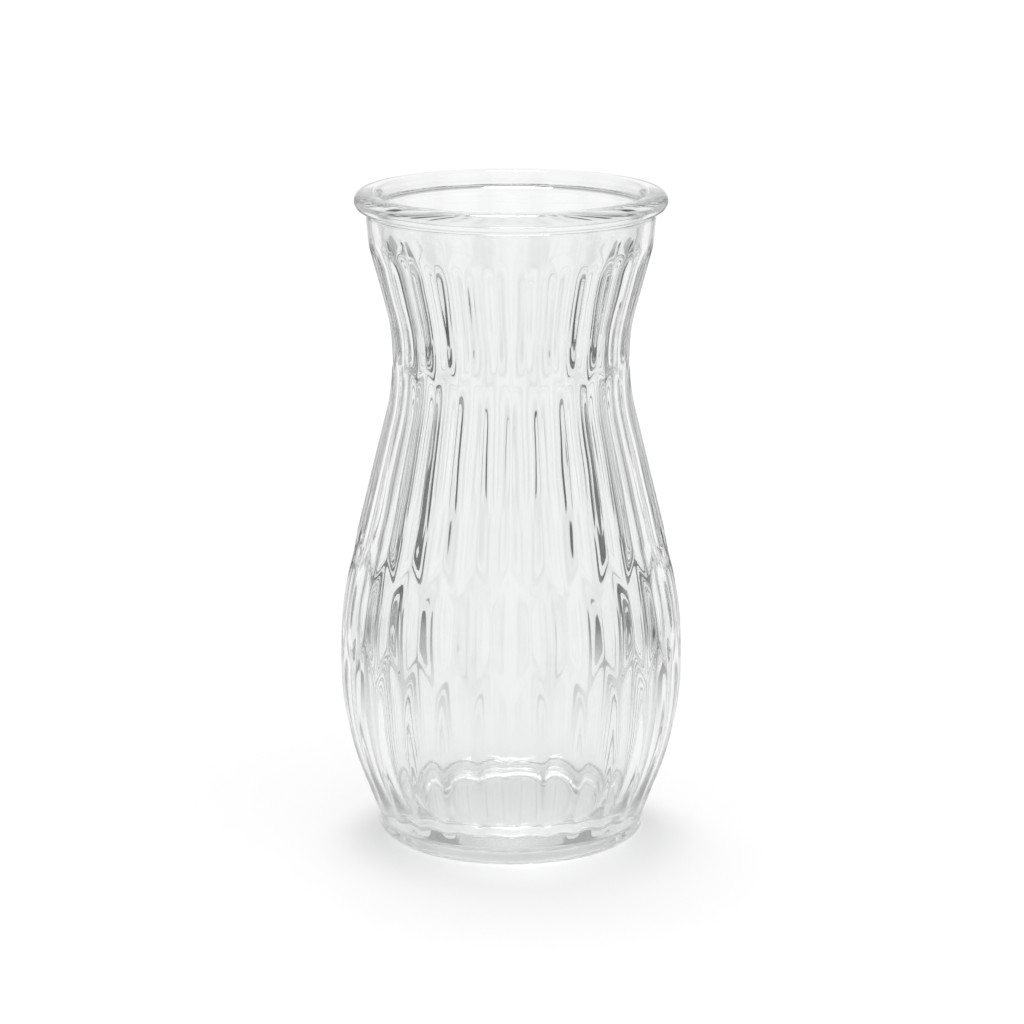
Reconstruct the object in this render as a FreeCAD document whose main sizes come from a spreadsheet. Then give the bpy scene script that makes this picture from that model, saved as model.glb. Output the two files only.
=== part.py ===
import FreeCAD, Part
import math
import os
import Sketcher
from FreeCAD import Vector

os.makedirs("parts", exist_ok=True)
doc = FreeCAD.newDocument("fluted_vase")

# Driving dimensions in millimetres. Heights are stacked from the table up to the rim, and
# radii are stacked outwards from the mouth, so each of them can change by itself.
SIZES = [
    ("push_up_height", 2.4, "depth of the hollow under the base"),
    ("floor_thickness", 6.1, "glass between that hollow and the inside floor"),
    ("heel_height", 3.4, "the heel's widest place above the table"),
    ("heel_notch_height", 2.0, "from there up to the notch where the flutes start"),
    ("belly_low", 53.0, "bottom of the widest band above the table"),
    ("belly_band", 8.0, "height of the widest band"),
    ("waist_rise", 90.0, "from the widest band up to the narrowest place"),
    ("neck_rise", 36.0, "from the narrowest place up to the collar"),
    ("collar_height", 10.2, "plain collar"),
    ("rim_thickness", 5.8, "height of the rolled rim"),
    ("mouth_radius", 40.8, "inside of the mouth"),
    ("mouth_depth", 13.0, "straight mouth under the rim's top"),
    ("lip_round", 2.2, "rounding of the mouth's inner edge"),
    ("collar_wall", 3.8, "glass at the top of the collar"),
    ("collar_taper", 0.95, "how much narrower the bottom of the collar is"),
    ("rim_overhang", 3.4, "how far the rolled rim stands out from the collar"),
    ("waist_radius", 36.55, "outside at the narrowest place"),
    ("waist_curve_share", 0.696, "curve of the waist, of the one bend that would fill the neck"),
    ("belly_radius", 53.3, "outside at the widest band"),
    ("shoulder_curve_share", 0.57, "curve above the widest band, of what the waist's curve leaves"),
    ("lower_curve_share", 0.891, "curve below the widest band, of the one bend that would fill it"),
    ("base_radius", 41.8, "outside of the heel"),
    ("heel_notch", 0.3, "depth of the notch above the heel"),
    ("heel_inset", 3.3, "from the heel in to the ring that the vase stands on"),
    ("heel_curve", 3.9, "rounding of the heel"),
    ("bearing_width", 2.0, "width of the flat ring that the vase stands on"),
    ("push_up_slope", 3.0, "width of the slope from that ring to the hollow"),
    ("wall", 3.3, "glass from the smooth inside to the ridges"),
    ("heavy_curve_share", 0.881, "inside curve below the widest band, of the outside one"),
    ("floor_fillet", 12.0, "rounding between the inside floor and the wall"),
    ("flute_count", 28, "flutes in each tier"),
    ("waist_gap", 1.5, "how far the neck and long flutes end above and below the waist"),
    ("tip_depth", 1.15, "depth of the flutes where they end at the waist"),
    ("neck_cutter", 6.5, "hollow of a neck flute across its width"),
    ("neck_sweep", 113.0, "curve of a neck flute along its length"),
    ("cone_cutter", 8.0, "hollow of a long flute across its width"),
    ("cone_sweep", 390.0, "curve of a long flute along its length"),
    ("cone_drop", 22.0, "lower tips of the long flutes above the widest band"),
    ("leaf_cutter", 9.0, "hollow of a short flute across its width"),
    ("leaf_sweep", 800.0, "curve of a short flute along its length"),
    ("leaf_rise", 34.0, "upper tips of the short flutes above the widest band"),
    ("leaf_lap", 3.0, "reach of the short flutes below the top of the widest band"),
    ("foot_cutter", 9.0, "hollow of a foot flute across its width"),
    ("foot_sweep_share", 1.6, "curve of a foot flute along its length, of the lower curve"),
    ("foot_lap", 9.0, "reach of the foot flutes above the widest band"),
    ("foot_gap", 6.0, "where the foot flutes' round lower ends start above the notch"),
    ("foot_tip_depth", 0.6, "depth of the foot flutes there"),
    ("run_out", 3.0, "how far a cutter runs past a tip that fades out"),
]

# Places that follow from the driving dimensions. A bend is the largest radius with which one arc
# could join two radii over a rise, and each curve is a share of it, so that the straight stretch
# between two curves always has room.
PLACES = [
    ("notch_height", "heel_height + heel_notch_height"),
    ("belly_top", "belly_low + belly_band"),
    ("waist_height", "belly_top + waist_rise"),
    ("collar_bottom", "waist_height + neck_rise"),
    ("collar_top", "collar_bottom + collar_height"),
    ("rim_height", "collar_top + rim_thickness"),
    ("floor_height", "push_up_height + floor_thickness"),
    ("collar_top_radius", "mouth_radius + collar_wall"),
    ("collar_radius", "collar_top_radius - collar_taper"),
    ("rim_round", "rim_thickness / 2"),
    ("rim_radius", "collar_top_radius + rim_overhang"),
    ("notch_radius", "base_radius - heel_notch"),
    ("bearing_outer", "base_radius - heel_inset"),
    ("bearing_inner", "bearing_outer - bearing_width"),
    ("push_up_radius", "bearing_inner - push_up_slope"),
    ("lower_rise", "belly_low - notch_height"),
    ("lower_swell", "belly_radius - notch_radius"),
    ("waist_pinch", "belly_radius - waist_radius"),
    ("neck_flare", "collar_radius - waist_radius"),
    ("lower_bend", "(lower_swell ^ 2 + lower_rise ^ 2) / (2 * lower_swell)"),
    ("cone_bend", "(waist_pinch ^ 2 + waist_rise ^ 2) / (2 * waist_pinch)"),
    ("neck_bend", "(neck_flare ^ 2 + neck_rise ^ 2) / (2 * neck_flare)"),
    ("lower_curve", "lower_curve_share * lower_bend"),
    ("waist_curve", "waist_curve_share * min(cone_bend; neck_bend)"),
    ("shoulder_curve", "shoulder_curve_share * (cone_bend - waist_curve)"),
    ("heavy_curve", "heavy_curve_share * lower_curve"),
    ("foot_sweep", "foot_sweep_share * lower_curve"),
    ("lower_centre", "belly_radius - lower_curve"),
    ("shoulder_centre", "belly_radius - shoulder_curve"),
    ("waist_centre", "waist_radius + waist_curve"),
    ("heavy_centre", "belly_radius - wall - heavy_curve"),
    ("cone_reach", "waist_centre - shoulder_centre"),
    ("cone_tilt", "atan2(waist_rise; cone_reach)"
                  " - acos((shoulder_curve + waist_curve) / hypot(waist_rise; cone_reach))"),
    ("shoulder_height", "belly_top + shoulder_curve * sin(cone_tilt)"),
    ("shoulder_radius", "shoulder_centre + shoulder_curve * cos(cone_tilt)"),
    ("foot_reach", "notch_radius - lower_centre"),
    ("foot_tilt", "atan2(lower_rise; foot_reach) - acos(lower_curve / hypot(lower_rise; foot_reach))"),
]


def path_places(tier, side, low, top):
    """Centre, first direction and swing of a cutter's path, an arc through a tier's two tips.

    Side is 1 where the arc's centre lies outside the glass, and -1 where it lies inside.
    """
    (low_radius, low_height), (top_radius, top_height) = low, top
    first_radius, first_height = low if side == 1 else top
    return [
        (f"{tier}_lean", f"({top_radius}) - ({low_radius})"),
        (f"{tier}_climb", f"({top_height}) - ({low_height})"),
        (f"{tier}_run", f"hypot({tier}_lean; {tier}_climb)"),
        (f"{tier}_stand", f"{side} * sqrt({tier}_sweep ^ 2 - {tier}_run ^ 2 / 4)"),
        (f"{tier}_across", f"({top_radius} + {low_radius}) / 2"
                           f" + {tier}_stand * {tier}_climb / {tier}_run"),
        (f"{tier}_up", f"({top_height} + {low_height}) / 2"
                       f" - {tier}_stand * {tier}_lean / {tier}_run"),
        (f"{tier}_first", f"atan2({tier}_up - ({first_height}); {first_radius} - {tier}_across)"),
        (f"{tier}_swing", f"2 * asin({tier}_run / (2 * {tier}_sweep))"),
        (f"{tier}_lead", f"2 * asin(run_out / (2 * {tier}_sweep))"),
    ]


WAIST_TIP = "waist_radius - tip_depth"
PATHS = [
    path_places("neck", 1, (WAIST_TIP, "waist_height + waist_gap"), ("collar_radius", "collar_bottom")),
    path_places("cone", 1, ("shoulder_centre + sqrt(shoulder_curve ^ 2 - cone_drop ^ 2)",
                            "belly_top + cone_drop"), (WAIST_TIP, "waist_height - waist_gap")),
    path_places("leaf", -1, ("belly_radius", "belly_top - leaf_lap"),
                ("shoulder_radius - (leaf_rise + belly_top - shoulder_height) * tan(cone_tilt)",
                 "belly_top + leaf_rise")),
    path_places("foot", -1, ("notch_radius + foot_gap * tan(foot_tilt) - foot_tip_depth",
                             "notch_height + foot_gap"),
                ("shoulder_centre + sqrt(shoulder_curve ^ 2 - foot_lap ^ 2)", "belly_top + foot_lap")),
]

sheet = doc.addObject("Spreadsheet::Sheet", "sizes")
cells = [(name, str(value), note) for name, value, note in SIZES]
cells += [(name, "=" + formula, "") for name, formula in PLACES + sum(PATHS, [])]
for row, (name, content, note) in enumerate(cells, start=1):
    sheet.set(f"A{row}", name)
    sheet.set(f"B{row}", content)
    sheet.set(f"C{row}", note)
    sheet.setAlias(f"B{row}", name)
doc.recompute()

body = doc.addObject("PartDesign::Body", "vase_body")
body.Label = "vase_body"


def origin_feature(role):
    return next(item for item in body.Origin.OriginFeatures if item.Role == role)


def cell(name):
    """Value of a cell as a plain number."""
    content = sheet.get(name)
    return float(getattr(content, "Value", content))


def new_sketch(name, role):
    sketch = body.newObject("Sketcher::SketchObject", name)
    sketch.AttachmentSupport = [(origin_feature(role), "")]
    sketch.MapMode = "FlatFace"
    return sketch


# Half section of the glass, in the XZ plane: up the outside, over the rim and down the inside.
# The first places of its edges are worked out here, and its constraints then hold them.
def spot(radius, height):
    return Vector(cell(radius), cell(height), 0)


def middle(start, end, radius):
    """Centre of an arc that bulges to the right of the way from start to end."""
    chord = end - start
    stand = math.sqrt(radius ** 2 - (chord.Length / 2) ** 2)
    return (start + end) / 2 + Vector(-chord.y, chord.x, 0) * stand / chord.Length


foot_centre = spot("lower_centre", "belly_low")
shoulder_centre = spot("shoulder_centre", "belly_top")
waist_centre = spot("waist_centre", "waist_height")
heavy_centre = spot("heavy_centre", "belly_low")
wall = cell("wall")
cone_angle = math.radians(cell("cone_tilt"))
foot_angle = math.radians(cell("foot_tilt"))


def neck_angle(end, curve):
    """Where the line down from end meets the waist's circle of that radius."""
    reach = end - waist_centre
    return math.atan2(reach.y, reach.x) + math.acos(curve / reach.Length)


axis_low = Vector(0, cell("push_up_height"), 0)
push_up = spot("push_up_radius", "push_up_height")
bearing_in = Vector(cell("bearing_inner"), 0, 0)
bearing_out = Vector(cell("bearing_outer"), 0, 0)
heel = spot("base_radius", "heel_height")
notch = spot("notch_radius", "notch_height")
collar_foot = spot("collar_radius", "collar_bottom")
collar_head = spot("collar_top_radius", "collar_top")
rim_under = Vector(cell("rim_radius") - cell("rim_round"), cell("collar_top"), 0)
rim_over = Vector(rim_under.x, cell("rim_height"), 0)
lip_top = Vector(cell("mouth_radius") + cell("lip_round"), cell("rim_height"), 0)
lip_low = Vector(cell("mouth_radius"), cell("rim_height") - cell("lip_round"), 0)
mouth_low = Vector(cell("mouth_radius"), cell("rim_height") - cell("mouth_depth"), 0)
fillet = cell("floor_fillet")
heavy_curve = cell("heavy_curve")
fillet_high = cell("floor_height") + fillet
fillet_reach = math.sqrt((heavy_curve - fillet) ** 2 - (heavy_centre.y - fillet_high) ** 2)
fillet_centre = Vector(heavy_centre.x + fillet_reach, fillet_high, 0)
fillet_angle = math.atan2(fillet_high - heavy_centre.y, fillet_reach)

section = new_sketch("section", "XZ_Plane")
edges = {}
START, END, CENTRE = 1, 2, 3
ORIGIN, VERTICAL_AXIS, LEVEL_AXIS = -1, -2, -1


def line(name, start, end):
    edges[name] = section.addGeometry(Part.LineSegment(start, end), False)


def arc(name, centre, radius, low, high):
    circle = Part.Circle(centre, Vector(0, 0, 1), radius)
    edges[name] = section.addGeometry(Part.ArcOfCircle(circle, low, high), False)


def end_of(name, which):
    """A place of an edge as it was drawn."""
    return section.getPoint(edges[name], which)


line("hollow", axis_low, push_up)
line("slope", push_up, bearing_in)
line("bearing", bearing_in, bearing_out)
heel_centre = middle(bearing_out, heel, cell("heel_curve"))
arc("heel_turn", heel_centre, cell("heel_curve"),
    math.atan2(bearing_out.y - heel_centre.y, bearing_out.x - heel_centre.x),
    math.atan2(heel.y - heel_centre.y, heel.x - heel_centre.x))
line("heel_side", heel, notch)
arc("lower", foot_centre, cell("lower_curve"), -foot_angle, 0)
line("foot", notch, end_of("lower", START))
arc("shoulder", shoulder_centre, cell("shoulder_curve"), 0, cone_angle)
line("band", end_of("lower", END), end_of("shoulder", START))
arc("waist", waist_centre, cell("waist_curve"),
    neck_angle(collar_foot, cell("waist_curve")), math.pi + cone_angle)
line("cone", end_of("shoulder", END), end_of("waist", END))
line("neck", end_of("waist", START), collar_foot)
line("collar", collar_foot, collar_head)
line("rim_floor", collar_head, rim_under)
arc("rim", (rim_under + rim_over) / 2, cell("rim_round"), -math.pi / 2, math.pi / 2)
line("rim_face", rim_over, lip_top)
arc("lip", Vector(lip_top.x, lip_low.y, 0), cell("lip_round"), math.pi / 2, math.pi)
line("mouth", lip_low, mouth_low)
arc("inner_waist", waist_centre, cell("waist_curve") + wall,
    neck_angle(mouth_low, cell("waist_curve") + wall), math.pi + cone_angle)
line("inner_neck", mouth_low, end_of("inner_waist", START))
arc("inner_shoulder", shoulder_centre, cell("shoulder_curve") - wall, 0, cone_angle)
line("inner_cone", end_of("inner_waist", END), end_of("inner_shoulder", END))
arc("heavy", heavy_centre, heavy_curve, fillet_angle, 0)
line("inner_band", end_of("inner_shoulder", START), end_of("heavy", END))
arc("floor_turn", fillet_centre, fillet, -math.pi / 2, fillet_angle)
line("floor", end_of("floor_turn", START), Vector(0, cell("floor_height"), 0))
line("axis", end_of("floor", END), axis_low)


def bind(sketch, constraint, formula):
    sketch.setExpression(f"Constraints[{sketch.addConstraint(constraint)}]", formula)


def across(name, which, formula):
    bind(section, Sketcher.Constraint("DistanceX", ORIGIN, START, edges[name], which,
                                      end_of(name, which).x), formula)


def up(name, which, formula):
    bind(section, Sketcher.Constraint("DistanceY", ORIGIN, START, edges[name], which,
                                      end_of(name, which).y), formula)


def radius(name, formula):
    bind(section, Sketcher.Constraint("Radius", edges[name],
                                      section.Geometry[edges[name]].Radius), formula)


def meet(kind, first, first_end, second, second_end):
    section.addConstraint(Sketcher.Constraint(kind, edges[first], first_end,
                                              edges[second], second_end))


for kind, first, first_end, second, second_end in [
    ("Coincident", "hollow", END, "slope", START),
    ("Coincident", "slope", END, "bearing", START),
    ("Coincident", "bearing", END, "heel_turn", START),
    ("Coincident", "heel_turn", END, "heel_side", START),
    ("Coincident", "heel_side", END, "foot", START),
    ("Tangent", "foot", END, "lower", START),
    ("Tangent", "lower", END, "band", START),
    ("Tangent", "band", END, "shoulder", START),
    ("Tangent", "shoulder", END, "cone", START),
    ("Tangent", "cone", END, "waist", END),
    ("Tangent", "waist", START, "neck", START),
    ("Coincident", "neck", END, "collar", START),
    ("Coincident", "collar", END, "rim_floor", START),
    ("Tangent", "rim_floor", END, "rim", START),
    ("Tangent", "rim", END, "rim_face", START),
    ("Tangent", "rim_face", END, "lip", START),
    ("Tangent", "lip", END, "mouth", START),
    ("Coincident", "mouth", END, "inner_neck", START),
    ("Tangent", "inner_neck", END, "inner_waist", START),
    ("Tangent", "inner_waist", END, "inner_cone", START),
    ("Tangent", "inner_cone", END, "inner_shoulder", END),
    ("Tangent", "inner_shoulder", START, "inner_band", START),
    ("Tangent", "inner_band", END, "heavy", END),
    ("Tangent", "heavy", START, "floor_turn", END),
    ("Tangent", "floor_turn", START, "floor", START),
    ("Coincident", "floor", END, "axis", START),
    ("Coincident", "axis", END, "hollow", START),
    ("Coincident", "inner_waist", CENTRE, "waist", CENTRE),
    ("Coincident", "inner_shoulder", CENTRE, "shoulder", CENTRE),
]:
    meet(kind, first, first_end, second, second_end)
for name in ("hollow", "rim_floor", "rim_face", "floor"):
    section.addConstraint(Sketcher.Constraint("Horizontal", edges[name]))
for name in ("band", "mouth", "inner_band"):
    section.addConstraint(Sketcher.Constraint("Vertical", edges[name]))
for name, which in (("hollow", START), ("floor", END)):
    section.addConstraint(Sketcher.Constraint("PointOnObject", edges[name], which, VERTICAL_AXIS))
for which in (START, END):
    section.addConstraint(Sketcher.Constraint("PointOnObject", edges["bearing"], which, LEVEL_AXIS))
for name, which, radial, height in [
    ("hollow", END, "push_up_radius", "push_up_height"),
    ("bearing", START, "bearing_inner", None),
    ("bearing", END, "bearing_outer", None),
    ("heel_turn", END, "base_radius", "heel_height"),
    ("heel_side", END, "notch_radius", "notch_height"),
    ("band", START, "belly_radius", "belly_low"),
    ("band", END, None, "belly_top"),
    ("waist", CENTRE, "waist_centre", "waist_height"),
    ("neck", END, "collar_radius", "collar_bottom"),
    ("collar", END, "collar_top_radius", "collar_top"),
    ("rim", CENTRE, "rim_radius - sizes.rim_round", None),
    ("mouth", END, "mouth_radius", "rim_height - sizes.mouth_depth"),
    ("heavy", CENTRE, None, "belly_low"),
    ("floor", END, None, "floor_height"),
]:
    if radial:
        across(name, which, "sizes." + radial)
    if height:
        up(name, which, "sizes." + height)
for name, formula in [
    ("heel_turn", "heel_curve"),
    ("lower", "lower_curve"),
    ("shoulder", "shoulder_curve"),
    ("waist", "waist_curve"),
    ("rim", "rim_round"),
    ("lip", "lip_round"),
    ("inner_waist", "waist_curve + sizes.wall"),
    ("inner_shoulder", "shoulder_curve - sizes.wall"),
    ("heavy", "heavy_curve"),
    ("floor_turn", "floor_fillet"),
]:
    radius(name, "sizes." + formula)
doc.recompute()
if not section.FullyConstrained:
    raise RuntimeError("the section is loose")

blown = body.newObject("PartDesign::Revolution", "blown_glass")
blown.Profile = section
blown.ReferenceAxis = (section, ["V_Axis"])
blown.Angle = 360
doc.recompute()
print("glass without flutes, mm3", round(blown.Shape.Volume))

# Flutes. A tier's cutter is a round bar bent along the tier's path, from its first tip to its last.
# Where a tip doesn't fade out, a ball of the bar's own radius rounds it.
TIERS = {
    "neck": {"bar": "-", "yaw": "0", "ball": "first"},
    "cone": {"bar": "-", "yaw": "180 / sizes.flute_count", "ball": "last"},
    "leaf": {"bar": "+", "yaw": "0", "ball": None},
    "foot": {"bar": "+", "yaw": "180 / sizes.flute_count", "ball": "last"},
}


def frame(tier, angle):
    """Placement at the centre of a tier's path, with its first axis turned to the given angle."""
    yaw = TIERS[tier]["yaw"]
    return (f"placement(vector(sizes.{tier}_across * cos({yaw}); sizes.{tier}_across * sin({yaw});"
            f" sizes.{tier}_up); rotationz({yaw}) * rotationy({angle}))")


def reach_of(tier):
    """From the centre of a tier's path to the middle of its bar."""
    side = 1 if TIERS[tier]["bar"] == "+" else -1
    return cell(f"{tier}_sweep") + side * cell(f"{tier}_cutter")


def disc(tier, reach, first):
    """The bar's round section at the first end of the tier's path."""
    radius = cell(f"{tier}_cutter")
    centre = Vector(reach_of(tier), 0, 0)
    profile = new_sketch(f"{tier}_profile", "XY_Plane")
    profile.setExpression("AttachmentOffset", frame(tier, first))
    circle = profile.addGeometry(Part.Circle(centre, Vector(0, 0, 1), radius))
    profile.addConstraint(Sketcher.Constraint("PointOnObject", circle, CENTRE, LEVEL_AXIS))
    bind(profile, Sketcher.Constraint("DistanceX", ORIGIN, START, circle, CENTRE, centre.x), reach)
    bind(profile, Sketcher.Constraint("Radius", circle, radius), f"sizes.{tier}_cutter")
    return profile


def half_disc(tier, reach, angle):
    """Half of that section, standing where the path ends, which turns into the ball."""
    radius = cell(f"{tier}_cutter")
    low, high = Vector(0, -radius, 0), Vector(0, radius, 0)
    profile = new_sketch(f"{tier}_end_profile", "XY_Plane")
    profile.setExpression("AttachmentOffset", f"{frame(tier, angle)}"
                                              f" * placement(vector({reach}; 0; 0); rotationy(0))")
    circle = Part.Circle(Vector(), Vector(0, 0, 1), radius)
    curve = profile.addGeometry(Part.ArcOfCircle(circle, -math.pi / 2, math.pi / 2), False)
    side = profile.addGeometry(Part.LineSegment(high, low), False)
    profile.addConstraint(Sketcher.Constraint("Coincident", curve, END, side, START))
    profile.addConstraint(Sketcher.Constraint("Coincident", side, END, curve, START))
    profile.addConstraint(Sketcher.Constraint("Coincident", curve, CENTRE, ORIGIN, START))
    profile.addConstraint(Sketcher.Constraint("Vertical", side))
    bind(profile, Sketcher.Constraint("Radius", curve, radius), f"sizes.{tier}_cutter")
    return profile


def groove(name, profile, swing):
    """Turns a profile about its own vertical axis and cuts it away."""
    before = body.Tip.Shape.Volume
    cut = body.newObject("PartDesign::Groove", name)
    cut.Profile = profile
    cut.ReferenceAxis = (profile, ["V_Axis"])
    cut.setExpression("Angle", swing)
    doc.recompute()
    print(name, "takes, mm3", round(before - cut.Shape.Volume, 1))
    if cut.Shape.Volume >= before:
        raise RuntimeError(f"{name} cuts nothing")
    return cut


def cut_tier(tier):
    """One flute, its round end and their copies around the vase."""
    reach = f"sizes.{tier}_sweep {TIERS[tier]['bar']} sizes.{tier}_cutter"
    first, swing, lead = (f"sizes.{tier}_{word}" for word in ("first", "swing", "lead"))
    ball = TIERS[tier]["ball"]
    start = first if ball == "first" else f"{first} - {lead}"
    leads = f"2 * {lead}" if ball is None else lead
    cuts = [groove(f"{tier}_flute", disc(tier, reach, start), f"{swing} + {leads}")]
    if ball:
        end = half_disc(tier, reach, first if ball == "first" else f"{first} + {swing}")
        cuts.append(groove(f"{tier}_flute_end", end, "360"))
    flutes = body.newObject("PartDesign::PolarPattern", f"{tier}_flutes")
    flutes.Originals = cuts
    flutes.Axis = (origin_feature("Z_Axis"), [""])
    flutes.Angle = 360
    flutes.setExpression("Occurrences", "sizes.flute_count")
    body.Tip = flutes
    doc.recompute()


for tier in TIERS:
    cut_tier(tier)

for item in doc.Objects:
    if {"Invalid", "Error"} & set(item.State):
        raise RuntimeError(f"{item.Label}: {item.State}")
shape = body.Shape
if shape.isNull() or not shape.isValid() or len(shape.Solids) != 1:
    raise RuntimeError(f"{body.Label} isn't one valid solid")
print(body.Label, "faces", len(shape.Faces), "volume, mm3", round(shape.Volume))
shape.exportStep(f"parts/{body.Label}.step")
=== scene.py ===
import math

import bmesh
import bpy
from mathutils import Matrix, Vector, noise


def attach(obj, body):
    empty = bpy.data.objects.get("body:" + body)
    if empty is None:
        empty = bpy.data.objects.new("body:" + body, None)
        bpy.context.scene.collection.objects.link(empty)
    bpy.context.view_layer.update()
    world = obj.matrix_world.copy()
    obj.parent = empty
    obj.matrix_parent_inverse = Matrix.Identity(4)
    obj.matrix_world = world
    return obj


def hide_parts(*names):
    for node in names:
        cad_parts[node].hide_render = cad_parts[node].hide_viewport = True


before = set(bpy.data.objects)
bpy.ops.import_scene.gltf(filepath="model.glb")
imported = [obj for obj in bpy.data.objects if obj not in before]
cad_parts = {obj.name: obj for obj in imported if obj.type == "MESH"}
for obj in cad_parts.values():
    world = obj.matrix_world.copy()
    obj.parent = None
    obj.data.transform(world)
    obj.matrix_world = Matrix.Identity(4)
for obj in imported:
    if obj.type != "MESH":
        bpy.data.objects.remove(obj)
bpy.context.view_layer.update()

scene = bpy.context.scene
mm = 0.001


# Camera: a long lens in front of the vase, above its rim and tilted down
cameraSetup = {
    "distance": 1.1200,
    "height": 0.3773,
    "aside": 0.0003,
    "downTilt": 0.2410,          # radians below level
    "focalPixels": 3708.0,       # focal length in pixels of the square picture
    "imagePixels": 1024.0,
    "sensor": 36.0,
}


def addCamera(setup):
    data = bpy.data.cameras.new("camera")
    data.sensor_width = setup["sensor"]
    data.lens = setup["focalPixels"] / setup["imagePixels"] * setup["sensor"]
    camera = bpy.data.objects.new("camera", data)
    scene.collection.objects.link(camera)
    camera.location = (setup["aside"], -setup["distance"], setup["height"])
    camera.rotation_euler = (math.pi / 2 - setup["downTilt"], 0, 0)
    scene.camera = camera
    print("camera placed, lens", round(data.lens, 2))


addCamera(cameraSetup)


# The glass. Sizes are in millimetres, and the section is that of the solid that it stands for.
vaseShape = {
    # under the base: a flat push-up, a ramp down to the ring that it stands on, and the heel
    "pushUpHeight": 2.4, "pushUpRadius": 33.5, "pushUpRings": 3, "pushUpEase": 0.1,
    "rampInset": 1.0, "rampHeight": 0.7,
    "bearingInner": 36.5, "bearingOuter": 38.5,
    "bearingEase": 0.05, "bearingInnerLead": 0.6, "bearingOuterLead": 0.4,
    "heelRadius": 41.8, "heelHeight": 3.4, "heelStart": -84.0, "heelSteps": 8,
    "heelTopInset": 0.08, "heelTopRise": 1.0,
    "notchRadius": 41.5, "notchHeight": 5.4,
    # the wall: tangent arcs and lines from the notch to the collar
    "lowerCurve": 90.8,
    "bellyRadius": 53.3, "bellyLow": 53.0, "bellyTop": 61.0,
    "shoulderCurve": 105.0,
    "waistRadius": 36.55, "waistHeight": 151.0, "waistCurve": 66.0,
    "rowStep": 1.7,
    "fineRowStep": 0.8, "fineBand": 6.0,     # closer rows near the waist
    # collar, rolled rim and mouth
    "collarRadius": 43.65, "collarBottom": 187.0,
    "collarTopRadius": 44.6, "collarTop": 197.2,
    "collarRows": (190.5, 193.0, 195.2, 196.6),
    "rimRadius": 48.0, "rimHeight": 203.0, "rimSteps": 14,
    "rimLeadOut": 0.35, "rimLeadDrop": 0.05,
    "lipRound": 2.2, "lipSteps": 6,
    "mouthRadius": 40.8, "mouthBottom": 190.0,
    "mouthRows": ((0.0, 197.5), (0.05, 194.0)),      # how far in, and how high
    # the inside: parallel to the wall, then a heavier base with a round floor
    "wall": 3.3, "innerRowStep": 3.6, "innerTopDrop": 2.0, "slopeReach": 0.5,
    "heavyCurve": 80.0, "heavySteps": 12,
    "floorHeight": 8.5, "floorFillet": 12.0, "filletSteps": 12,
    "floorRingShares": (0.7, 0.35, 0.0),
    # flutes round the outside
    "fluteCount": 28, "columnsPerFlute": 16,
    "plainAbove": 2.0,           # flutes and ripples stop this far above the collar's bottom
    "ridgeRound": 0.4,           # softness of the ridges between flutes
    "tipPower": 1.5,             # 1 ends a flute round, and more makes its tip pointed
    "drift": 0.05, "driftStep": 35.0,        # flutes wander by this share of a pitch
    "uneven": 0.15, "unevenStep": 18.0,      # and their depth varies by this share
    "ripple": 0.16, "rippleStep": 11.0,      # the blown inside is wavy by this much
    "mergeDistance": 0.01,
}

# Tiers of flutes, each as if cut by a round tool with the radius hollow. Turn is in pitches, and the
# fades are the lengths over which the tips run out.
fluteTiers = {
    "neck": {"turn": 0.0, "low": 148.4, "top": 187.4, "depth": 0.85, "hollow": 12.5,
             "lowFade": 14.0, "topFade": 5.5},
    "cone": {"turn": 0.5, "low": 82.0, "top": 152.8, "depth": 0.90, "hollow": 12.5,
             "lowFade": 20.0, "topFade": 19.0},
    "leaf": {"turn": 0.0, "low": 57.5, "top": 97.0, "depth": 0.70, "hollow": 19.0,
             "lowFade": 12.0, "topFade": 14.0},
    "foot": {"turn": 0.5, "low": 8.0, "top": 70.0, "depth": 0.95, "hollow": 13.0,
             "lowFade": 10.0, "topFade": 22.0},
}


# Tilt from upright of a line that touches two circles, or one circle and a point. Their centres are
# reachAcross and reachUp apart, and radii is the sum of their radii.
def tangentTilt(reachAcross, reachUp, radii):
    return math.atan2(reachUp, reachAcross) - math.acos(radii / math.hypot(reachAcross, reachUp))


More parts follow.
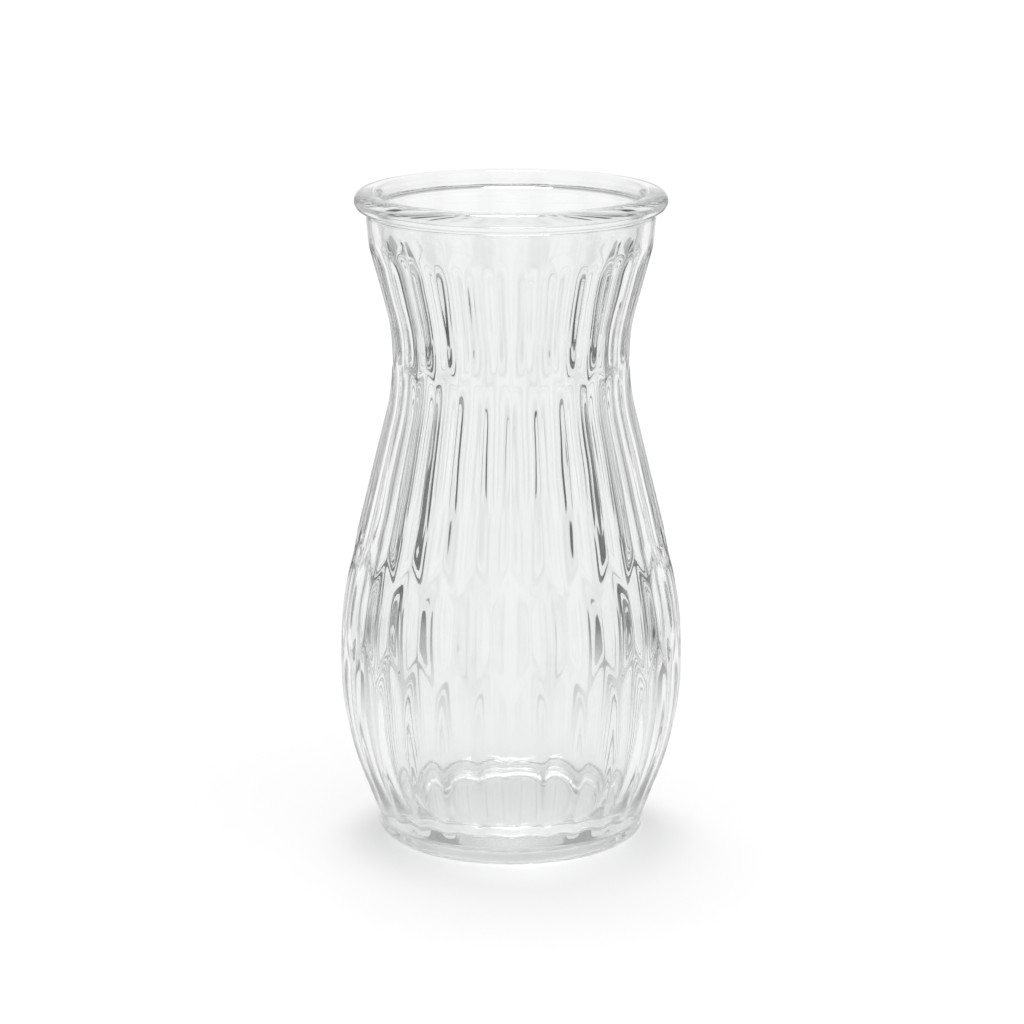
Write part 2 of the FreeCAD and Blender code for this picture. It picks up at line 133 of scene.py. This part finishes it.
# Outside radius at a ridge, at a height above the table
def ridgeRadius(height):
    s = vaseShape
    lowerCentre = s["bellyRadius"] - s["lowerCurve"]
    shoulderCentre = s["bellyRadius"] - s["shoulderCurve"]
    waistCentre = s["waistRadius"] + s["waistCurve"]
    footTilt = tangentTilt(s["notchRadius"] - lowerCentre, s["bellyLow"] - s["notchHeight"],
                           s["lowerCurve"])
    coneTilt = tangentTilt(waistCentre - shoulderCentre, s["waistHeight"] - s["bellyTop"],
                           s["shoulderCurve"] + s["waistCurve"])
    neckTilt = tangentTilt(waistCentre - s["collarRadius"], s["collarBottom"] - s["waistHeight"],
                           s["waistCurve"])
    if height < s["bellyLow"] - s["lowerCurve"] * math.sin(footTilt):
        return s["notchRadius"] + (height - s["notchHeight"]) * math.tan(footTilt)
    if height < s["bellyLow"]:
        return lowerCentre + math.sqrt(s["lowerCurve"] ** 2 - (s["bellyLow"] - height) ** 2)
    if height < s["bellyTop"]:
        return s["bellyRadius"]
    shoulderHeight = s["bellyTop"] + s["shoulderCurve"] * math.sin(coneTilt)
    if height < shoulderHeight:
        return shoulderCentre + math.sqrt(s["shoulderCurve"] ** 2 - (height - s["bellyTop"]) ** 2)
    if height < s["waistHeight"] - s["waistCurve"] * math.sin(coneTilt):
        start = shoulderCentre + s["shoulderCurve"] * math.cos(coneTilt)
        return start - (height - shoulderHeight) * math.tan(coneTilt)
    if height < s["waistHeight"] + s["waistCurve"] * math.sin(neckTilt):
        return waistCentre - math.sqrt(s["waistCurve"] ** 2 - (height - s["waistHeight"]) ** 2)
    if height < s["collarBottom"]:
        return s["collarRadius"] - (s["collarBottom"] - height) * math.tan(neckTilt)
    share = (height - s["collarBottom"]) / (s["collarTop"] - s["collarBottom"])
    return s["collarRadius"] + share * (s["collarTopRadius"] - s["collarRadius"])


# Smooth unevenness between about -1 and 1, whose bumps are about a step apart
def unevenness(angle, height, radius, step):
    place = Vector((radius * math.cos(angle), radius * math.sin(angle), height))
    return noise.noise(place / step)


# How far the flutes stand in from the ridges at a place on the wall
def fluteCut(angle, height, radius):
    pitch = 2 * math.pi / vaseShape["fluteCount"]
    soft = vaseShape["ridgeRound"]
    cut = 0.0
    drift = vaseShape["drift"] * unevenness(angle, height, radius, vaseShape["driftStep"])
    uneven = 1 + vaseShape["uneven"] * unevenness(angle, height, radius, vaseShape["unevenStep"])
    for tier in fluteTiers.values():
        if not tier["low"] < height < tier["top"]:
            continue
        low = min(1.0, (height - tier["low"]) / tier["lowFade"])
        top = min(1.0, (tier["top"] - height) / tier["topFade"])
        tips = (1 - (1 - low) ** 2) * (1 - (1 - top) ** 2)
        depth = uneven * tier["depth"] * tips ** vaseShape["tipPower"]
        turns = angle / pitch - tier["turn"] + drift
        across = (turns - round(turns)) * pitch * radius
        hollow = tier["hollow"]
        tool = depth - (hollow - math.sqrt(hollow ** 2 - across ** 2))
        mix = min(1.0, max(0.0, 0.5 + 0.5 * (tool - cut) / soft))
        cut = cut * (1 - mix) + tool * mix + soft * mix * (1 - mix)      # the deeper one, blended
    return cut


# Points along an arc, without its first one; angles in degrees
def arcPoints(centre, radius, start, end, count):
    points = []
    for step in range(1, count + 1):
        angle = math.radians(start + (end - start) * step / count)
        points.append((centre[0] + radius * math.cos(angle), centre[1] + radius * math.sin(angle)))
    return points


# Heights of the rows up the outside, closer together where flutes end at the waist
def wallHeights():
    s = vaseShape
    heights = []
    height = s["notchHeight"]
    while height < s["collarBottom"] + s["rowStep"]:
        heights.append(height)
        near = abs(height - s["waistHeight"]) < s["fineBand"]
        height += s["fineRowStep"] if near else s["rowStep"]
    return heights


# The half section is a list of (radius, height). This stretch runs from the axis under the base to
# the notch above the heel.
def baseSection():
    s = vaseShape
    rings = s["pushUpRings"]
    points = [(s["pushUpRadius"] * ring / rings, s["pushUpHeight"]) for ring in range(rings)]
    points.append((s["pushUpRadius"], s["pushUpHeight"] - s["pushUpEase"]))
    points.append((s["bearingInner"] - s["rampInset"], s["rampHeight"]))
    points.append((s["bearingInner"], s["bearingEase"]))
    points.append((s["bearingInner"] + s["bearingInnerLead"], 0))
    points.append((s["bearingOuter"] - s["bearingOuterLead"], 0))
    heelCentre = (s["heelRadius"] - s["heelHeight"], s["heelHeight"])
    points += arcPoints(heelCentre, s["heelHeight"], s["heelStart"], 0, s["heelSteps"])
    points.append((s["heelRadius"] - s["heelTopInset"], s["heelHeight"] + s["heelTopRise"]))
    return points


# Up the wall and the collar, round the rolled rim and down into the mouth
def outerSection():
    s = vaseShape
    points = [(ridgeRadius(height), height) for height in wallHeights()]
    points += [(ridgeRadius(height), height) for height in s["collarRows"]]
    points.append((s["collarTopRadius"] + s["rimLeadOut"], s["collarTop"] - s["rimLeadDrop"]))
    roll = (s["rimHeight"] - s["collarTop"]) / 2
    points += arcPoints((s["rimRadius"] - roll, s["collarTop"] + roll), roll, -90, 90, s["rimSteps"])
    lipCentre = (s["mouthRadius"] + s["lipRound"], s["rimHeight"] - s["lipRound"])
    points += arcPoints(lipCentre, s["lipRound"], 90, 180, s["lipSteps"])
    points += [(s["mouthRadius"] - inset, height) for inset, height in s["mouthRows"]]
    return points


# Down the inside, square to the wall by its thickness, then the heavy base and the floor
def innerSection():
    s = vaseShape
    points = []
    reach = s["slopeReach"]
    height = s["mouthBottom"] - s["innerTopDrop"]
    while height > s["bellyLow"]:
        slope = (ridgeRadius(height + reach) - ridgeRadius(height - reach)) / (2 * reach)
        length = math.hypot(1, slope)
        points.append((ridgeRadius(height) - s["wall"] / length, height + s["wall"] * slope / length))
        height -= s["innerRowStep"]
    heavyCentre = (s["bellyRadius"] - s["wall"] - s["heavyCurve"], s["bellyLow"])
    fillHeight = s["floorHeight"] + s["floorFillet"]
    drop = s["bellyLow"] - fillHeight
    across = math.sqrt((s["heavyCurve"] - s["floorFillet"]) ** 2 - drop ** 2)
    turnDown = -math.degrees(math.atan2(drop, across))
    floorEdge = heavyCentre[0] + across
    points += arcPoints(heavyCentre, s["heavyCurve"], 0, turnDown, s["heavySteps"])
    points += arcPoints((floorEdge, fillHeight), s["floorFillet"], turnDown, -90, s["filletSteps"])
    points += [(floorEdge * share, s["floorHeight"]) for share in s["floorRingShares"]]
    return points


def buildVase():
    s = vaseShape
    bm = bmesh.new()
    previous = None
    for radius, height in baseSection() + outerSection() + innerSection():
        corner = bm.verts.new((radius * mm, 0, height * mm))
        if previous:
            bm.edges.new((previous, corner))
        previous = corner
    bmesh.ops.spin(bm, geom=bm.verts[:] + bm.edges[:], cent=(0, 0, 0), axis=(0, 0, 1),
                   angle=2 * math.pi, steps=s["fluteCount"] * s["columnsPerFlute"], use_merge=True)
    bmesh.ops.remove_doubles(bm, verts=bm.verts, dist=s["mergeDistance"] * mm)
    plainHeight = s["collarBottom"] + s["plainAbove"]
    for vert in bm.verts:
        radius = math.hypot(vert.co.x, vert.co.y) / mm
        height = vert.co.z / mm
        if radius < s["floorFillet"] or not s["notchHeight"] < height < plainHeight:
            continue
        ridge = ridgeRadius(height)
        angle = math.atan2(vert.co.y, vert.co.x)
        if radius > ridge - s["wall"] / 2:
            inwards = fluteCut(angle, height, ridge)
        else:
            inwards = s["ripple"] * unevenness(angle, height, radius, s["rippleStep"])
        vert.co.x *= 1 - inwards / radius
        vert.co.y *= 1 - inwards / radius
    bmesh.ops.recalc_face_normals(bm, faces=bm.faces)
    for face in bm.faces:
        face.smooth = True
    mesh = bpy.data.meshes.new("glassVase")
    bm.to_mesh(mesh)
    bm.free()
    vase = bpy.data.objects.new("glassVase", mesh)
    scene.collection.objects.link(vase)
    print("glass triangles", sum(len(face.vertices) - 2 for face in mesh.polygons))
    return vase


vase = buildVase()
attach(vase, "root")
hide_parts("vase_body")


# Clear glass: fire-polished, with faint draws and a little haze
glassFinish = {
    "tint": (0.938, 0.943, 0.943, 1),
    "index": 1.5,
    "roughness": (0.0, 0.012),
    "hazeScale": 90.0, "hazeDetail": 3.0, "hazeFrom": (0.45, 0.8),
    "drawScale": 60.0, "drawDetail": 2.0,
    "drawStretch": (1.0, 1.0, 0.25),         # draws run up the wall
    "drawStrength": 0.05, "drawHeight": 0.0004,
    "depthColor": (0.60, 0.61, 0.61, 1),
    "depthDensity": 8.0,         # how much long ways through the glass darken
    "shadowTint": (0.66, 0.665, 0.665, 1),   # what each surface lets through to a shadow
}


def addNoise(nodes, links, place, scale, detail):
    node = nodes.new("ShaderNodeTexNoise")
    node.inputs["Scale"].default_value = scale
    node.inputs["Detail"].default_value = detail
    links.new(place, node.inputs["Vector"])
    return node.outputs["Fac"]


def glassMaterial(finish):
    material = bpy.data.materials.new("clearGlass")
    material.use_nodes = True
    nodes, links = material.node_tree.nodes, material.node_tree.links
    output = nodes["Material Output"]
    shader = nodes["Principled BSDF"]
    shader.inputs["Base Color"].default_value = finish["tint"]
    shader.inputs["IOR"].default_value = finish["index"]
    shader.inputs["Transmission Weight"].default_value = 1.0
    place = nodes.new("ShaderNodeTexCoord")

    # haze in soft patches
    haze = addNoise(nodes, links, place.outputs["Object"], finish["hazeScale"], finish["hazeDetail"])
    hazeRange = nodes.new("ShaderNodeMapRange")
    hazeRange.inputs["From Min"].default_value = finish["hazeFrom"][0]
    hazeRange.inputs["From Max"].default_value = finish["hazeFrom"][1]
    hazeRange.inputs["To Min"].default_value = finish["roughness"][0]
    hazeRange.inputs["To Max"].default_value = finish["roughness"][1]
    links.new(haze, hazeRange.inputs["Value"])
    links.new(hazeRange.outputs["Result"], shader.inputs["Roughness"])

    # draws
    stretch = nodes.new("ShaderNodeMapping")
    stretch.inputs["Scale"].default_value = finish["drawStretch"]
    links.new(place.outputs["Object"], stretch.inputs["Vector"])
    draws = addNoise(nodes, links, stretch.outputs["Vector"], finish["drawScale"], finish["drawDetail"])
    bump = nodes.new("ShaderNodeBump")
    bump.inputs["Strength"].default_value = finish["drawStrength"]
    bump.inputs["Distance"].default_value = finish["drawHeight"]
    links.new(draws, bump.inputs["Height"])
    links.new(bump.outputs["Normal"], shader.inputs["Normal"])

    # long ways through the glass are darker
    depth = nodes.new("ShaderNodeVolumeAbsorption")
    depth.inputs["Color"].default_value = finish["depthColor"]
    depth.inputs["Density"].default_value = finish["depthDensity"]
    links.new(depth.outputs["Volume"], output.inputs["Volume"])

    # a shadow ray goes straight through, so that the floor gets a pale shadow
    clear = nodes.new("ShaderNodeBsdfTransparent")
    clear.inputs["Color"].default_value = finish["shadowTint"]
    path = nodes.new("ShaderNodeLightPath")
    either = nodes.new("ShaderNodeMixShader")
    links.new(path.outputs["Is Shadow Ray"], either.inputs["Fac"])
    links.new(shader.outputs["BSDF"], either.inputs[1])
    links.new(clear.outputs["BSDF"], either.inputs[2])
    links.new(either.outputs["Shader"], output.inputs["Surface"])
    return material


vase.data.materials.append(glassMaterial(glassFinish))
print("glass finished")


# Stage: a white floor and surround, with soft dark flags between the clear directions. In the surround
# the flags are dim parts of the world's light; on the floor they are painted shade, dark bands that
# only reflections and refractions in the glass see
stageSetup = {
    "floorSize": 4.0,
    "floorColor": (0.80, 0.80, 0.80, 1),
    "floorRoughness": 0.9,
    "floorGlow": 0.35,           # share of the floor's white that no shadow darkens
    "flagEvery": 45.0,           # one clear direction every so many degrees
    "whiteReach": 1.5,           # degrees of pure white beside a clear direction
    "greyReach": 13.0,           # where the white has faded to grey
    "greyLevel": 0.86,
    "flagReach": 14.5,           # where the dark flags begin
    "flagFull": 16.5,            # where they are as dark as they get
    # how dark the flags get: painted shade on the floor, and dimmer world light in the surround
    "floorPaintedDarkLevel": 0.05, "skyFlagLevel": 0.5,
    "flagNear": 0.04, "flagFar": 0.38,       # the flags fade in over this stretch of floor
    "flagEbb": 0.65, "flagEnd": 1.0,         # and ebb over this one
    "flagLeft": 0.5,                         # to this share
    "topStart": 0.35, "topEnd": 0.60, "topLevel": 0.75,      # plain grey overhead
}


def addMath(nodes, links, operation, first, second=None):
    node = nodes.new("ShaderNodeMath")
    node.operation = operation
    for socket, value in zip(node.inputs, (first, second)):
        if isinstance(value, (int, float)):
            socket.default_value = value
        elif value is not None:
            links.new(value, socket)
    return node.outputs[0]


def addRange(nodes, links, value, fromMin, fromMax, toMin, toMax):
    node = nodes.new("ShaderNodeMapRange")
    node.interpolation_type = "SMOOTHSTEP"
    links.new(value, node.inputs["Value"])
    node.inputs["From Min"].default_value = fromMin
    node.inputs["From Max"].default_value = fromMax
    node.inputs["To Min"].default_value = toMin
    node.inputs["To Max"].default_value = toMax
    return node.outputs["Result"]


def addMix(nodes, links, factor, first, second):
    node = nodes.new("ShaderNodeMix")
    for name, value in (("Factor", factor), ("A", first), ("B", second)):
        if isinstance(value, (int, float)):
            node.inputs[name].default_value = value
        else:
            links.new(value, node.inputs[name])
    return node.outputs["Result"]


# Level of white by the compass direction from the middle of the floor
def addFlags(nodes, links, across, along, flagLevel):
    s = stageSetup
    azimuth = addMath(nodes, links, "ARCTAN2", across, along)
    turn = addMath(nodes, links, "ADD", azimuth, 2 * math.pi)
    folded = addMath(nodes, links, "PINGPONG", turn, math.radians(s["flagEvery"] / 2))
    grey = addRange(nodes, links, folded, math.radians(s["whiteReach"]), math.radians(s["greyReach"]),
                    1.0, s["greyLevel"])
    flag = addRange(nodes, links, folded, math.radians(s["flagReach"]), math.radians(s["flagFull"]),
                    0.0, 1.0)
    return addMix(nodes, links, flag, grey, flagLevel)


def addWorld(setup):
    world = bpy.data.worlds.new("studio")
    scene.world = world
    world.use_nodes = True
    nodes, links = world.node_tree.nodes, world.node_tree.links
    way = nodes.new("ShaderNodeTexCoord")
    parts = nodes.new("ShaderNodeSeparateXYZ")
    links.new(way.outputs["Generated"], parts.inputs["Vector"])
    flags = addFlags(nodes, links, parts.outputs["X"], parts.outputs["Y"], setup["skyFlagLevel"])
    top = addRange(nodes, links, parts.outputs["Z"], setup["topStart"], setup["topEnd"], 0.0, 1.0)
    level = addMix(nodes, links, top, flags, setup["topLevel"])
    path = nodes.new("ShaderNodeLightPath")
    seen = addMix(nodes, links, path.outputs["Is Camera Ray"], level, 1.0)
    background = nodes["Background"]
    links.new(seen, background.inputs["Color"])
    background.inputs["Strength"].default_value = 1.0


# How far a place on the floor is from its middle
def addReach(nodes, links, across, along):
    acrossSquare = addMath(nodes, links, "MULTIPLY", across, across)
    alongSquare = addMath(nodes, links, "MULTIPLY", along, along)
    return addMath(nodes, links, "SQRT", addMath(nodes, links, "ADD", acrossSquare, alongSquare))


def floorMaterial(setup):
    material = bpy.data.materials.new("paleFloor")
    material.use_nodes = True
    nodes, links = material.node_tree.nodes, material.node_tree.links
    shader = nodes["Principled BSDF"]
    shader.inputs["Base Color"].default_value = setup["floorColor"]
    shader.inputs["Roughness"].default_value = setup["floorRoughness"]
    shader.inputs["Specular IOR Level"].default_value = 0.0
    place = nodes.new("ShaderNodeTexCoord")
    parts = nodes.new("ShaderNodeSeparateXYZ")
    links.new(place.outputs["Object"], parts.inputs["Vector"])
    across, along = parts.outputs["X"], parts.outputs["Y"]
    flags = addFlags(nodes, links, across, along, setup["floorPaintedDarkLevel"])
    reach = addReach(nodes, links, across, along)
    near = addRange(nodes, links, reach, setup["flagNear"], setup["flagFar"], 0.0, 1.0)
    far = addRange(nodes, links, reach, setup["flagEbb"], setup["flagEnd"], 1.0, setup["flagLeft"])
    fade = addMath(nodes, links, "MULTIPLY", near, far)

    # the floor's flags are painted shade, seen only through reflections and refractions in the glass;
    # the camera itself sees no flags
    path = nodes.new("ShaderNodeLightPath")
    notCamera = addMath(nodes, links, "SUBTRACT", 1.0, path.outputs["Is Camera Ray"])
    dimmed = addMath(nodes, links, "MULTIPLY", notCamera, fade)
    level = addMix(nodes, links, dimmed, 1.0, flags)
    glow = nodes.new("ShaderNodeEmission")
    pale = nodes.new("ShaderNodeMixShader")
    pale.inputs["Fac"].default_value = setup["floorGlow"]
    links.new(shader.outputs["BSDF"], pale.inputs[1])
    links.new(glow.outputs["Emission"], pale.inputs[2])
    # painted shade: the floor is mixed toward black where its flag bands lie
    paintedShadeMix = nodes.new("ShaderNodeMixShader")     # its open first socket is black
    links.new(level, paintedShadeMix.inputs["Fac"])
    links.new(pale.outputs["Shader"], paintedShadeMix.inputs[2])
    links.new(paintedShadeMix.outputs["Shader"], nodes["Material Output"].inputs["Surface"])
    return material


def addFloor(setup):
    bm = bmesh.new()
    bmesh.ops.create_grid(bm, x_segments=1, y_segments=1, size=setup["floorSize"])
    mesh = bpy.data.meshes.new("floor")
    bm.to_mesh(mesh)
    bm.free()
    mesh.materials.append(floorMaterial(setup))
    floor = bpy.data.objects.new("floor", mesh)
    scene.collection.objects.link(floor)


addWorld(stageSetup)
addFloor(stageSetup)


# Lamps: the key from high up and a little behind, and a weak, wide fill from the front on the right
lamps = [
    {"name": "keyLamp", "from": (-0.04, 0.30, 1.2), "spread": 20.0, "power": 1.55},
    {"name": "fillLamp", "from": (0.8, -0.9, 1.4), "spread": 60.0, "power": 0.3},
]


def addLamp(lamp):
    data = bpy.data.lights.new(lamp["name"], "SUN")
    data.angle = math.radians(lamp["spread"])
    data.energy = lamp["power"]
    light = bpy.data.objects.new(lamp["name"], data)
    scene.collection.objects.link(light)
    light.rotation_euler = Vector(lamp["from"]).to_track_quat("Z", "Y").to_euler()


for lamp in lamps:
    addLamp(lamp)

# Light that runs along inside the glass wall is reflected many times before it comes out
lightBounces = 48
clearBounces = 16                # surfaces that a shadow ray may pass
scene.cycles.max_bounces = lightBounces
scene.cycles.transmission_bounces = lightBounces
scene.cycles.glossy_bounces = lightBounces
scene.cycles.transparent_max_bounces = clearBounces
scene.view_settings.view_transform = "Standard"
print("stage and lamps placed")
